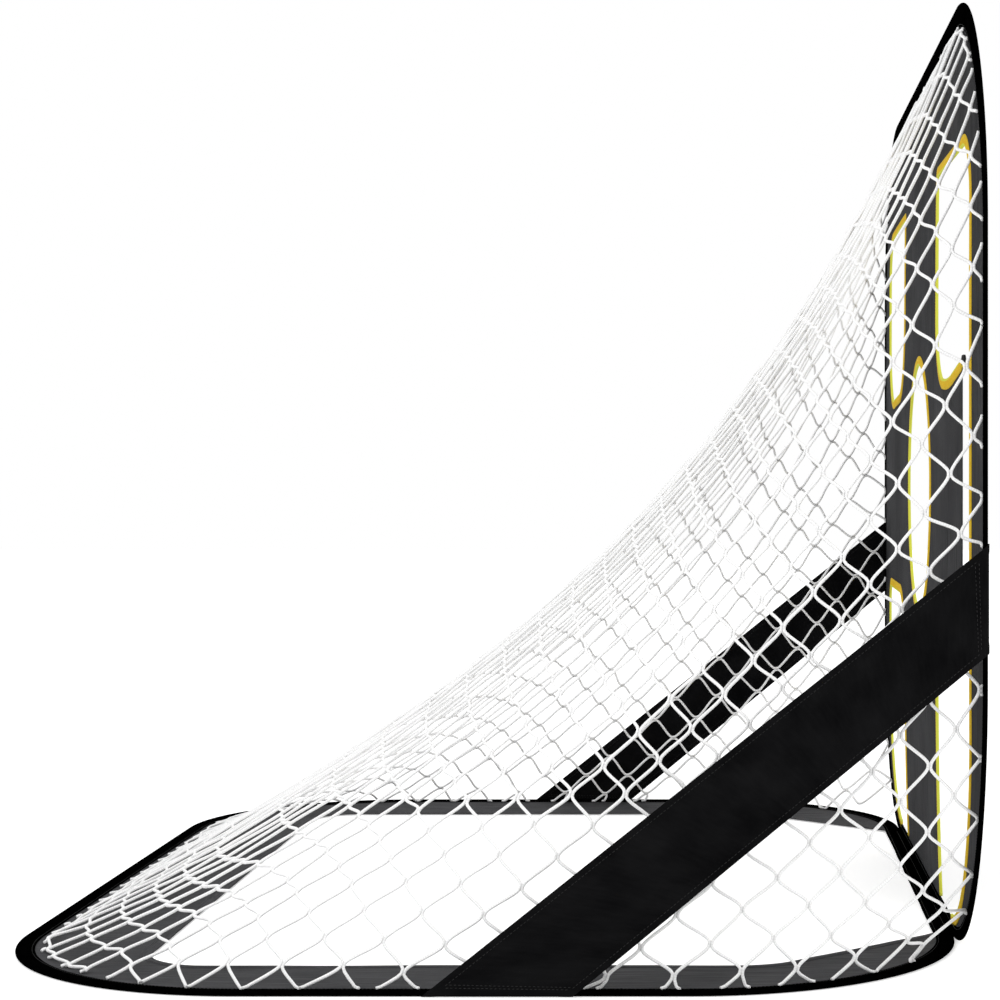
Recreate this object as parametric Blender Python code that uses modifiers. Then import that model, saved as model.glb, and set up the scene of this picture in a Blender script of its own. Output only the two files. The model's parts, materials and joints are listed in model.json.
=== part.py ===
# Pop-up soccer goal with a target face.
# Two sprung hoops are hinged along the ground. The upright one holds a sheet with five
# holes, the one on the ground holds a border, and one net is taut between them.
# Metres, +Z up. The face looks towards -Y and the origin is on the ground under the middle.

import math

import bpy
import numpy as np
from mathutils import Euler, Vector

goal_name = "soccer_goal"
guides_name = "guides"

# Overall sizes
goal_width = 1.220
goal_height = 0.915
goal_depth = 0.920
front_foot_radius = 0.275
front_head_radius = 0.235
base_corner_radius = 0.258
corner_steps = 10

# Spring wire, the ferrule that closes it, and the cloth sleeve that it runs in
wire_diameter = 0.0020
wire_end_gap = 0.0006
ferrule_length = 0.030
ferrule_wall = 0.0004
ferrule_sides = 12
sleeve_cloth = 0.0003
front_sleeve_width = 0.013
base_sleeve_width = 0.018
clearance = 0.0003

# Sheets that fill the hoops
sheet_thickness = 0.0010
border_side_width = 0.122
border_rear_width = 0.143
border_front_width = 0.015
border_rear_radius = 0.060
gusset_length = 0.184
gusset_width = 0.276
gusset_radius = 0.070
gusset_toe_radius = 0.020

# Piping on the edges of the holes
piping_diameter = 0.005
piping_resolution = 1

# Holes, measured from the side of the goal, the upper ones from its top and the others from the ground
corner_hole_outer = 0.105
corner_hole_inner = 0.405
top_hole_drop = 0.133
top_hole_height = 0.233
top_hole_outer_radius = 0.055
top_hole_inner_radius = 0.008
top_hole_lower_radius = 0.110
top_hole_heel_rise = 0.020
top_hole_heel_radius = 0.020
bottom_hole_bottom = 0.0125
bottom_hole_top = 0.315
bottom_hole_outer_radius = 0.200
bottom_hole_shoulder_radius = 0.030
bottom_hole_inner_radius = 0.090
centre_hole_diameter = 0.286
centre_hole_height = 0.445
centre_hole_sides = 32
slot_width = 0.064
slot_bottom = 0.345
slot_tip_rise = 0.024
slot_radius = 0.006

# Straps that hold the upright hoop to the one on the ground
strap_thickness = 0.0010
strap_front_low = 0.300
strap_front_high = 0.396
strap_base_near = 0.364
strap_base_far = 0.497
strap_floor_gap = 0.0005

# Net
net_cord = 0.003
net_rows = 7
net_columns = 13
net_start = 0.030

# Hinge along the ground
hinge_tape_cloth = 0.0004
hinge_tape_leg = 0.008
hinge_tape_end = 0.020
folded_net_space = 0.004

# Sizes that follow
wire_radius = wire_diameter / 2
ferrule_bore = wire_radius + clearance
ferrule_radius = ferrule_bore + ferrule_wall
sleeve_bore = ferrule_radius + clearance
sleeve_radius = sleeve_bore + sleeve_cloth
sheet_inset = sleeve_radius + ferrule_radius + clearance
slit_half = sheet_thickness / 2 + clearance
flap_half = slit_half + sleeve_cloth
piping_radius = piping_diameter / 2
front_plane = -goal_depth / 2 + sleeve_radius
front_back_face = front_plane + sleeve_radius
base_plane = sleeve_radius
base_start = front_back_face + clearance
base_length = goal_depth / 2 - base_start
front_hoop = (goal_height, front_foot_radius, front_head_radius)
base_hoop = (base_length, base_corner_radius, base_corner_radius)
top_hole_top = goal_height - top_hole_drop
top_hole_bottom = top_hole_top - top_hole_height
hinge_y = front_back_face + folded_net_space / 2
hinge_z = 2 * sleeve_radius + folded_net_space / 2

# How a piece's own plane is turned: flat on the ground, facing the mouth, or facing the side
flat = (0, 0, 0)
upright = (math.pi / 2, 0, 0)
sideways = (math.pi / 2, 0, math.pi / 2)


def clear_scene():
    for obj in list(bpy.data.objects):
        bpy.data.objects.remove(obj, do_unlink=True)


def new_collection(name):
    collection = bpy.data.collections.new(name)
    bpy.context.scene.collection.children.link(collection)
    return collection


def material(name, color, roughness, metallic=0.0):
    mat = bpy.data.materials.new(name)
    mat.use_nodes = True
    shader = mat.node_tree.nodes["Principled BSDF"]
    shader.inputs["Base Color"].default_value = (*color, 1.0)
    shader.inputs["Roughness"].default_value = roughness
    shader.inputs["Metallic"].default_value = metallic
    mat.diffuse_color = (*color, 1.0)
    return mat


def add_object(name, data, mat, turn=flat, place=(0, 0, 0), carrier=None):
    """An object whose data's plane is turned and placed, on the empty that carries it."""
    obj = bpy.data.objects.new(name, data)
    obj.rotation_euler = turn
    obj.location = Vector(place) - (carrier.location if carrier else Vector())
    obj.parent = carrier
    data.materials.append(mat)
    bpy.data.collections[goal_name].objects.link(obj)
    return obj


def arc(centre, radius, start, turn, steps):
    """Points round an arc, with both of its ends."""
    angles = [start + turn * k / steps for k in range(steps + 1)]
    return [(centre[0] + radius * math.cos(a), centre[1] + radius * math.sin(a)) for a in angles]


def rounded(corners, steps=corner_steps):
    """A closed outline through corners (x, y, radius), each rounded by an arc."""
    points = []
    for k, (x, y, radius) in enumerate(corners):
        here = np.array((x, y))
        into = here - corners[k - 1][:2]
        out = np.array(corners[(k + 1) % len(corners)][:2]) - here
        into, out = into / np.linalg.norm(into), out / np.linalg.norm(out)
        turn = math.atan2(into[0] * out[1] - into[1] * out[0], into @ out)
        if not radius:
            points.append((x, y))
            continue
        side = math.copysign(1, turn)
        reach = radius * math.tan(abs(turn) / 2)
        normal = np.array((-into[1], into[0])) * side
        centre = here - into * reach + normal * radius
        start = math.atan2(-normal[1], -normal[0])
        count = max(2, round(steps * abs(turn) / (math.pi / 2)))
        points += arc(centre, radius, start, turn, count)
    return points


def widened(points, distance):
    """A counter-clockwise outline with each edge moved outwards."""
    here = np.array(points)
    along = np.roll(here, -1, axis=0) - here
    along /= np.linalg.norm(along, axis=1)[:, None]
    out = np.stack([along[:, 1], -along[:, 0]], axis=1)
    before = np.roll(out, 1, axis=0)
    miter = (out + before) / (1 + (out * before).sum(axis=1))[:, None]
    return [tuple(p) for p in here + distance * miter]


def hoop_outline(hoop, inset):
    """A hoop's outline in its own plane, standing on y = 0, drawn in by an inset."""
    height, foot_radius, head_radius = hoop
    x, low, high = goal_width / 2 - inset, inset, height - inset
    foot, head = foot_radius - inset, head_radius - inset
    return rounded([(-x, low, foot), (x, low, foot), (x, high, head), (-x, high, head)])


def mirrored(points):
    """The same outline on the other side, still counter-clockwise."""
    return [(-x, y) for x, y in reversed(points)]


def add_spline(curve, points, cyclic=True):
    spline = curve.splines.new("POLY")
    spline.points.add(len(points) - 1)
    for point, place in zip(spline.points, points):
        point.co = (*place, 0, 1) if len(place) == 2 else (*place, 1)
    spline.use_cyclic_u = cyclic


def plate(name, outlines, thickness, mat, turn, place, carrier=None):
    """A flat piece from its outline and the outlines of its holes, centred on its plane."""
    curve = bpy.data.curves.new(name, "CURVE")
    curve.dimensions = "2D"
    curve.fill_mode = "BOTH"
    curve.extrude = thickness / 2
    for outline in outlines:
        add_spline(curve, outline)
    return add_object(name, curve, mat, turn, place, carrier)


def rod(name, points, radius, mat, turn, place, carrier=None, resolution=2, cyclic=False):
    """A round bar along points."""
    curve = bpy.data.curves.new(name, "CURVE")
    curve.dimensions = "3D"
    curve.bevel_depth = radius
    curve.bevel_resolution = resolution
    curve.use_fill_caps = not cyclic
    add_spline(curve, points, cyclic)
    return add_object(name, curve, mat, turn, place, carrier)


def sleeve_section(width):
    """The folded cloth's section: x inwards from the hoop's edge, y across its plane."""

    def half_turn(apothem, flap):
        # six corners of an octagon that lies flat on the ground, then the straight flaps
        side = math.pi / 4
        corner = apothem / math.cos(side / 2)
        angles = [side * (k + 1.5) for k in range(6)]
        bend = [(sleeve_radius + corner * math.cos(a), corner * math.sin(a)) for a in angles]
        root = sleeve_radius + math.sqrt(2) * apothem - flap
        return [(width, flap), (root, flap), *bend, (root, -flap), (width, -flap)]
    return half_turn(sleeve_bore, slit_half) + half_turn(sleeve_radius, flap_half)[::-1]


def add_sleeve(name, hoop, width, mat, turn, place, carrier=None):
    """A strip folded round a hoop's wire, open along its inner edge."""
    section = bpy.data.curves.new(name + "_section", "CURVE")
    section.dimensions = "2D"
    section.fill_mode = "NONE"
    add_spline(section, sleeve_section(width))
    guide = bpy.data.objects.new(name + "_section", section)
    guide.hide_render = True
    guide.display_type = "WIRE"
    bpy.data.collections[guides_name].objects.link(guide)
    path = bpy.data.curves.new(name, "CURVE")
    path.dimensions = "2D"
    path.fill_mode = "NONE"
    path.bevel_mode = "OBJECT"
    path.bevel_object = guide
    add_spline(path, hoop_outline(hoop, 0))
    return add_object(name, path, mat, turn, place, carrier)


def add_wire(name, hoop, mats, turn, place, carrier=None):
    """A hoop of spring wire whose ends meet in a ferrule at the middle of its far side."""
    outline = hoop_outline(hoop, sleeve_radius)
    cut = len(outline) * 3 // 4
    far = outline[cut][1]
    points = [(-wire_end_gap / 2, far), *outline[cut:], *outline[:cut], (wire_end_gap / 2, far)]
    rod(name, points, wire_radius, mats["spring_steel"], turn, place, carrier)
    angles = [2 * math.pi * k / ferrule_sides for k in range(ferrule_sides)]
    bore = ferrule_bore / math.cos(math.pi / ferrule_sides)
    rings = [[(r * math.cos(a), r * math.sin(a)) for a in angles] for r in (ferrule_radius, bore)]
    seat = Vector(place) + Euler(turn).to_matrix() @ Vector((0, far, 0))
    plate(name + "_ferrule", rings, ferrule_length, mats["ferrule_steel"], sideways, seat, carrier)


def border_opening():
    """The open middle of the ground hoop, with a gusset in each front corner."""
    x = goal_width / 2 - border_side_width
    toe = goal_width / 2 - gusset_width
    rear = base_length - border_rear_width
    right = [
        (toe, border_front_width, gusset_toe_radius),
        (x, gusset_length, gusset_radius),
        (x, rear, border_rear_radius),
    ]
    left = [(-px, py, radius) for px, py, radius in reversed(right)]
    return rounded(right + left)


def top_hole():
    """The upper corner hole on the right, as its piping's centre line."""
    outer = goal_width / 2 - corner_hole_outer
    inner = goal_width / 2 - corner_hole_inner
    return rounded([
        (inner, top_hole_bottom, top_hole_lower_radius),
        (outer, top_hole_bottom + top_hole_heel_rise, top_hole_heel_radius),
        (outer, top_hole_top, top_hole_outer_radius),
        (inner, top_hole_top, top_hole_inner_radius),
    ])


def slotted_top_hole():
    """The upper corner hole on the left, which a slot lengthens downwards."""
    outer = -goal_width / 2 + corner_hole_outer
    inner = -goal_width / 2 + corner_hole_inner
    slot = outer + slot_width
    return rounded([
        (outer, slot_bottom, slot_radius),
        (slot, slot_bottom, slot_radius),
        (slot, top_hole_bottom + slot_tip_rise, slot_radius),
        (inner, top_hole_bottom, top_hole_lower_radius),
        (inner, top_hole_top, top_hole_inner_radius),
        (outer, top_hole_top, top_hole_outer_radius),
    ])


def bottom_hole():
    """The lower corner hole on the right, as its piping's centre line."""
    outer = goal_width / 2 - corner_hole_outer
    inner = goal_width / 2 - corner_hole_inner
    return rounded([
        (inner, bottom_hole_bottom, 0),
        (outer, bottom_hole_bottom, bottom_hole_outer_radius),
        (outer, bottom_hole_top, bottom_hole_shoulder_radius),
        (inner, bottom_hole_top, bottom_hole_inner_radius),
    ])


def centre_hole():
    start = -math.pi / 2
    turn = 2 * math.pi
    ring = arc((0, centre_hole_height), centre_hole_diameter / 2, start, turn, centre_hole_sides)
    return ring[:-1]


def over_hoop(hoop, inset, fractions):
    """Points at fractions of the way over a hoop, from its left foot to its right foot."""
    outline = hoop_outline(hoop, inset)
    foot = len(outline) // 4
    route = np.array(outline[foot - 1::-1] + outline[:foot - 1:-1])
    lengths = np.concatenate([[0], np.cumsum(np.linalg.norm(np.diff(route, axis=0), axis=1))])
    want = np.asarray(fractions) * lengths[-1]
    return np.stack([np.interp(want, lengths, route[:, k]) for k in range(2)], axis=1)


def net_lattice():
    """Knots of a taut net: each one not sewn down lies at the mean of its neighbours."""
    last = 2 * net_rows + net_columns
    spread = [math.sqrt(2) if k < net_rows or k >= last - net_rows else 1 for k in range(last)]
    fractions = np.concatenate([[0], np.cumsum(spread)]) / sum(spread)
    fractions = net_start + (1 - 2 * net_start) * fractions
    seat = flap_half + clearance + net_cord / 2
    front = over_hoop(front_hoop, front_sleeve_width - net_cord / 2, fractions)
    base = over_hoop(base_hoop, base_sleeve_width - net_cord / 2, fractions)
    places = {}
    sewn = {}
    for k in range(last + 1):
        reach = min(k, net_rows, last - k)
        on_front = np.array((front[k][0], front_plane + seat, front[k][1]))
        on_base = np.array((base[k][0], base_start + base[k][1], base_plane + seat))
        for row in range(net_rows - reach, net_rows + reach + 1):
            places[k, row] = len(places)
        sewn[k, net_rows - reach] = on_front
        sewn[k, net_rows + reach] = on_base if reach else (on_front + on_base) / 2
    pull = np.zeros((len(places), len(places)))
    held = np.zeros((len(places), 3))
    for (k, row), number in places.items():
        if (k, row) in sewn:
            pull[number, number] = 1
            held[number] = sewn[k, row]
            continue
        for beside in ((k - 1, row), (k + 1, row), (k, row - 1), (k, row + 1)):
            pull[number, number] += 1
            pull[number, places[beside]] -= 1
    return places, np.linalg.solve(pull, held)


def add_net(mat):
    """The net as a lattice of cords, with a cord along its sewn edge."""
    places, knots = net_lattice()
    faces = []
    for k in range(2 * net_rows + net_columns):
        for row in range(2 * net_rows):
            cell = [(k, row), (k + 1, row), (k + 1, row + 1), (k, row + 1)]
            cell = [places[knot] for knot in cell if knot in places]
            if len(cell) > 2:
                faces.append(cell)
    mesh = bpy.data.meshes.new("net")
    mesh.from_pydata(knots.tolist(), [], faces)
    obj = add_object("net", mesh, mat)
    cords = obj.modifiers.new("cords", "WIREFRAME")
    cords.thickness = net_cord
    cords.offset = 0
    cords.use_boundary = True
    cords.use_even_offset = True
    cords.use_relative_offset = False
    return obj


def add_front(mats, fold_axis):
    """The upright hoop with its target sheet and the piping round each hole."""
    place = (0, front_plane, 0)
    add_wire("front_wire", front_hoop, mats, upright, place, fold_axis)
    add_sleeve("front_sleeve", front_hoop, front_sleeve_width, mats["sleeve_cloth"], upright, place, fold_axis)
    slotted = slotted_top_hole()
    foot = bottom_hole()
    holes = {
        "top_left": slotted,
        "top_right": top_hole(),
        "bottom_left": mirrored(foot),
        "bottom_right": foot,
        "centre": centre_hole(),
    }
    cuts = [widened(outline, piping_radius + clearance) for outline in holes.values()]
    sheet = [hoop_outline(front_hoop, sheet_inset), *cuts]
    plate("target_panel", sheet, sheet_thickness, mats["panel_cloth"], upright, place, fold_axis)
    pipings = dict(holes)
    slot_end = 2 * (corner_steps + 1)  # the slot's own edge, past its two lower corners, is bare
    pipings["top_left"] = slotted[slot_end:] + slotted[:1]
    pipings["bottom_right"] = above_sleeve(foot)
    pipings["bottom_left"] = mirrored(above_sleeve(foot))
    for name, points in pipings.items():
        closed = name in ("top_right", "centre")
        rod("piping_" + name, points, piping_radius, mats["piping_cloth"], upright, place, fold_axis,
            piping_resolution, closed)


def above_sleeve(outline):
    """The run of a lower hole's outline that stands clear of the sleeve."""
    floor = front_sleeve_width + clearance + piping_radius
    run = [point for point in outline[1:] if point[1] > floor]
    return [*run, (outline[0][0], floor)]


def add_base(mats):
    """The hoop on the ground with its border, the net, the straps and the hinge."""
    place = (0, base_start, base_plane)
    add_wire("base_wire", base_hoop, mats, flat, place)
    add_sleeve("base_sleeve", base_hoop, base_sleeve_width, mats["sleeve_cloth"], flat, place)
    border = [hoop_outline(base_hoop, sheet_inset), border_opening()]
    plate("base_border", border, sheet_thickness, mats["panel_cloth"], flat, place)
    add_net(mats["net_cord"])
    front, strap_gap = -goal_depth / 2, goal_width / 2 + clearance + strap_thickness / 2
    strap = [
        (front, strap_front_high),
        (front, strap_front_low),
        (front + strap_base_near, strap_floor_gap),
        (front + strap_base_far, strap_floor_gap),
    ]
    for name, x in (("side_strap_left", -strap_gap), ("side_strap_right", strap_gap)):
        plate(name, [strap], strap_thickness, mats["strap_cloth"], sideways, (x, 0, 0))
    back, low = front_plane + flap_half + clearance, 2 * sleeve_radius + clearance
    tape = [
        (back, low),
        (back + hinge_tape_leg, low),
        (back + hinge_tape_leg, low + hinge_tape_cloth),
        (back + hinge_tape_cloth, low + hinge_tape_cloth),
        (back + hinge_tape_cloth, low + hinge_tape_leg),
        (back, low + hinge_tape_leg),
    ]
    straight = goal_width - 2 * max(front_foot_radius, base_corner_radius)
    length = straight - 2 * hinge_tape_end
    plate("hinge_tape", [tape], length, mats["sleeve_cloth"], sideways, (0, 0, 0))


def main():
    clear_scene()
    new_collection(goal_name)
    new_collection(guides_name)
    mats = {
        "sleeve_cloth": material("sleeve_cloth", (0.006, 0.006, 0.006), 0.85),
        "panel_cloth": material("panel_cloth", (0.045, 0.045, 0.047), 0.9),
        "strap_cloth": material("strap_cloth", (0.010, 0.010, 0.010), 0.8),
        "piping_cloth": material("piping_cloth", (0.70, 0.69, 0.16), 0.7),
        "net_cord": material("net_cord", (0.86, 0.86, 0.86), 0.6),
        "spring_steel": material("spring_steel", (0.42, 0.42, 0.43), 0.35, 1.0),
        "ferrule_steel": material("ferrule_steel", (0.55, 0.55, 0.56), 0.3, 1.0),
    }
    fold_axis = bpy.data.objects.new("fold_axis", None)
    fold_axis.location = (0, hinge_y, hinge_z)
    bpy.data.collections[goal_name].objects.link(fold_axis)
    add_base(mats)
    add_front(mats, fold_axis)


main()
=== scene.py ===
import json
import math

import bmesh
import bpy
import numpy as np
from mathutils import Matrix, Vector, noise
from mathutils.geometry import delaunay_2d_cdt
from mathutils.kdtree import KDTree


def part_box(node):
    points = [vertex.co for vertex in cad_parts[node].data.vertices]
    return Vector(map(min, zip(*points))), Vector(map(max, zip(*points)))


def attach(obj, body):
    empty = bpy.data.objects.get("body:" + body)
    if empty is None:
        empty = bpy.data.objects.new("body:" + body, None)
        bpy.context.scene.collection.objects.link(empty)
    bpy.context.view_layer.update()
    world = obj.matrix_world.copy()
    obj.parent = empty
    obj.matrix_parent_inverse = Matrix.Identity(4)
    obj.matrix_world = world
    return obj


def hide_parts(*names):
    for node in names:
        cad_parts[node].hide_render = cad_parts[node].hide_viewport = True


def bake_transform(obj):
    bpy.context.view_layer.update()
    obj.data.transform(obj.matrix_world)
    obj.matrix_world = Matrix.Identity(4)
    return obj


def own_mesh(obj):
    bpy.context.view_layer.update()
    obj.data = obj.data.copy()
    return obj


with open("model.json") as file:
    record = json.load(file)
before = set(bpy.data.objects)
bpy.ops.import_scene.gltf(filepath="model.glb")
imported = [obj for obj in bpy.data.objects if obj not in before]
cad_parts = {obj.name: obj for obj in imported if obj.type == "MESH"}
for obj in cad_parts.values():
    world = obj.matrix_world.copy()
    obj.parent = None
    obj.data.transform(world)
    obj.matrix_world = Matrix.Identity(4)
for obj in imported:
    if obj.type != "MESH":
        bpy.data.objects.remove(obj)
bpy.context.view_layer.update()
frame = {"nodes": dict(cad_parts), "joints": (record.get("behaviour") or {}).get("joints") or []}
scene = bpy.context.scene
scene.view_settings.view_transform = "Standard"

# Where the two hoops stand, read from the frame
faceLow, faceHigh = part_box("front_sleeve")
groundLow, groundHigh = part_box("base_sleeve")
goalWidth = faceHigh.x - faceLow.x
faceHeight = faceHigh.z - faceLow.z
faceY = (faceLow.y + faceHigh.y) / 2
groundStart = groundLow.y
groundLength = groundHigh.y - groundLow.y
groundZ = (groundLow.z + groundHigh.z) / 2
tubeRadius = (groundHigh.z - groundLow.z) / 2
hingePoint = frame["joints"][0]["pos_m"]

hoops = {
    "faceFootRadius": 0.275, "faceHeadRadius": 0.235, "groundRadius": 0.258,
    "pathStep": 0.004,  # metres between the points of a hoop's outline
    "faceSleeveWidth": 0.013,
    "headExtra": 0.010, "headFrom": 0.66, "headBlend": 0.16,  # the face sleeve is wider along its top
    "groundSleeveWidth": 0.018,
    "sheetInset": 0.0045,  # how far inside the hoop's edge a sheet starts
}
# each hoop's length away from the hinge, and its corners' radii at the hinge and away from it
faceHoop = (faceHeight, hoops["faceFootRadius"], hoops["faceHeadRadius"])
groundHoop = (groundLength, hoops["groundRadius"], hoops["groundRadius"])


# Camera: its axis lies across the goal, level, so the face and the ground's edge keep parallel
cameraSet = {
    "place": (-2.6433, -0.2247, 0.4549),
    "lens": 83.5,
    "sensor": 36.0,
    "shift": (-0.22, -0.022),
}


def makeCamera(values):
    camera = bpy.data.objects.new("camera", bpy.data.cameras.new("camera"))
    camera.data.lens = values["lens"]
    camera.data.sensor_width = values["sensor"]
    camera.data.shift_x, camera.data.shift_y = values["shift"]
    camera.location = values["place"]
    camera.rotation_euler = (math.radians(90), 0, math.radians(-90))
    scene.collection.objects.link(camera)
    scene.camera = camera


makeCamera(cameraSet)
print("camera set")


def srgb(hexText):
    parts = [int(hexText[k:k + 2], 16) / 255 for k in (1, 3, 5)]
    linear = [p / 12.92 if p <= 0.04045 else ((p + 0.055) / 1.055) ** 2.4 for p in parts]
    return (*linear, 1.0)


def addNode(tree, kind, settings=None, links=None):
    node = tree.nodes.new(kind)
    for name, value in (settings or {}).items():
        if isinstance(name, str) and hasattr(node, name):
            setattr(node, name, value)
        else:
            node.inputs[name].default_value = value
    for name, source in (links or {}).items():
        tree.links.new(source, node.inputs[name])
    return node


def newMaterial(name, inputs):
    material = bpy.data.materials.new(name)
    material.use_nodes = True
    shader = material.node_tree.nodes["Principled BSDF"]
    for label, value in inputs.items():
        shader.inputs[label].default_value = value
    return material, material.node_tree, shader


# Light: a bright even room, one large soft lamp high on the left and a weak one on the right
lightSet = {
    "room": 0.97,
    "key": {"place": (-2.2, 1.6, 2.6), "size": 2.4, "watts": 24.0},
    "fill": {"place": (-2.0, -2.4, 1.4), "size": 2.0, "watts": 12.0},
    "floorColour": "#f4f4f4",
    "floorGlow": 0.42,  # what the camera and a gloss see on top of its lit colour
    "floorSize": 12.0,
    "floorDrop": 0.0004,
}


def seenDirectly(tree):
    # 1 for what the camera, a gloss or a clear piece shows, 0 for what only lights something
    rays = addNode(tree, "ShaderNodeLightPath")
    seen = addNode(tree, "ShaderNodeMath", {"operation": "MAXIMUM"},
                   {0: rays.outputs["Is Camera Ray"], 1: rays.outputs["Is Glossy Ray"]})
    through = addNode(tree, "ShaderNodeMath", {"operation": "MAXIMUM"},
                      {0: seen.outputs[0], 1: rays.outputs["Is Transmission Ray"]})
    return through.outputs[0]


def makeRoom(values):
    world = bpy.data.worlds.new("room")
    scene.world = world
    world.use_nodes = True
    tree = world.node_tree
    tree.nodes.clear()
    strength = addNode(tree, "ShaderNodeMapRange", {"To Min": values["room"], "To Max": 1.0},
                       {"Value": seenDirectly(tree)})
    back = addNode(tree, "ShaderNodeBackground", {"Color": srgb("#ffffff")},
                   {"Strength": strength.outputs[0]})
    addNode(tree, "ShaderNodeOutputWorld", links={"Surface": back.outputs[0]})
    for name in ("key", "fill"):
        lamp = bpy.data.lights.new(name, "AREA")
        lamp.energy = values[name]["watts"]
        lamp.size = values[name]["size"]
        obj = bpy.data.objects.new(name, lamp)
        obj.location = values[name]["place"]
        obj.visible_camera = False
        aim = Vector((0, 0, 0.35)) - obj.location
        obj.rotation_euler = aim.to_track_quat("-Z", "Y").to_euler()
        scene.collection.objects.link(obj)


def makeFloor(values):
    # matt white paper sweep: pale, no gloss, keeps a soft shadow under the goal
    paper, tree, shader = newMaterial("paperSweep", {
        "Base Color": srgb(values["floorColour"]), "Roughness": 1.0, "Specular IOR Level": 0.0,
        "Emission Color": srgb("#ffffff")})
    glow = addNode(tree, "ShaderNodeMath", {"operation": "MULTIPLY", 1: values["floorGlow"]},
                   {0: seenDirectly(tree)})
    tree.links.new(glow.outputs[0], shader.inputs["Emission Strength"])
    mesh = bpy.data.meshes.new("floor")
    grid = bmesh.new()
    bmesh.ops.create_grid(grid, x_segments=2, y_segments=2, size=values["floorSize"])
    bmesh.ops.translate(grid, verts=grid.verts, vec=(0, 0, -values["floorDrop"]))
    grid.to_mesh(mesh)
    grid.free()
    mesh.materials.append(paper)
    floor = bpy.data.objects.new("floor", mesh)
    scene.collection.objects.link(floor)


makeRoom(lightSet)
makeFloor(lightSet)
print("room and floor set")


# Materials. Each woven cloth reads the piece's own UV map, which is in metres.
def weaveInto(tree, shader, uv, thread, depth, slub):
    # plain weave: two crossing rows of threads, drawn as bump, with slubs as uneven threads
    warp, weft = (addNode(tree, "ShaderNodeTexWave", {
        "wave_type": "BANDS", "bands_direction": way, "Scale": 0.5 / thread, "Distortion": 0.6,
        "Detail": 1.0}, {"Vector": uv}) for way in "XY")
    cross = addNode(tree, "ShaderNodeMath", {"operation": "MAXIMUM"},
                    {0: warp.outputs["Fac"], 1: weft.outputs["Fac"]})
    uneven = addNode(tree, "ShaderNodeMath", {"operation": "MULTIPLY_ADD", 1: 0.6},
                     {0: slub, 2: cross.outputs[0]})
    bump = addNode(tree, "ShaderNodeBump", {"Strength": 0.5, "Distance": depth},
                   {"Height": uneven.outputs[0]})
    tree.links.new(bump.outputs["Normal"], shader.inputs["Normal"])


def wovenCloth(name, values):
    material, tree, shader = newMaterial(name, {
        "Roughness": values["roughness"], "IOR": 1.45, "Specular IOR Level": values["gloss"]})
    uv = addNode(tree, "ShaderNodeUVMap", {"uv_map": "UVMap"})
    streakSpace = addNode(tree, "ShaderNodeMapping", {"Scale": values["streakScale"]},
                          {"Vector": uv.outputs[0]})
    streaks = addNode(tree, "ShaderNodeTexNoise", {"Scale": 1.0, "Detail": 4.0, "Roughness": 0.65},
                      {"Vector": streakSpace.outputs[0]})
    patches = addNode(tree, "ShaderNodeTexNoise", {"Scale": values["patchScale"], "Detail": 3.0},
                      {"Vector": uv.outputs[0]})
    blend = addNode(tree, "ShaderNodeMath", {"operation": "MULTIPLY_ADD", 1: values["patchShare"]},
                    {0: patches.outputs["Fac"]})
    share = addNode(tree, "ShaderNodeMath", {"operation": "MULTIPLY", 1: 1 - values["patchShare"]},
                    {0: streaks.outputs["Fac"]})
    tree.links.new(share.outputs[0], blend.inputs[2])
    ramp = addNode(tree, "ShaderNodeValToRGB", links={"Fac": blend.outputs[0]})
    ramp.color_ramp.elements[0].position = 0.36
    ramp.color_ramp.elements[0].color = srgb(values["dark"])
    ramp.color_ramp.elements[1].position = 0.66
    ramp.color_ramp.elements[1].color = srgb(values["pale"])
    colour = ramp.outputs["Color"]
    if "foldLitColour" in values:
        # the first of the map's two lengths runs round the tape, so the fold is a band of it; painted light:
        # that band gets the lit lime, the flaps the shaded gold
        parts = addNode(tree, "ShaderNodeSeparateXYZ", links={0: uv.outputs[0]})
        apart = addNode(tree, "ShaderNodeMath", {"operation": "SUBTRACT", 1: values["foldAt"]},
                        {0: parts.outputs["X"]})
        far = addNode(tree, "ShaderNodeMath", {"operation": "ABSOLUTE"}, {0: apart.outputs[0]})
        flap = addNode(tree, "ShaderNodeMapRange", {
            "From Min": values["foldHalf"], "From Max": values["foldHalf"] + values["foldFade"]},
            {"Value": far.outputs[0]})
        pair = addNode(tree, "ShaderNodeMix", {"data_type": "RGBA", 6: srgb(values["foldLitColour"])},
                       {0: flap.outputs[0], 7: colour})
        colour = pair.outputs[2]
    tree.links.new(colour, shader.inputs["Base Color"])
    weaveInto(tree, shader, uv.outputs[0], values["thread"], values["depth"], streaks.outputs["Fac"])
    return material


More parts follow.
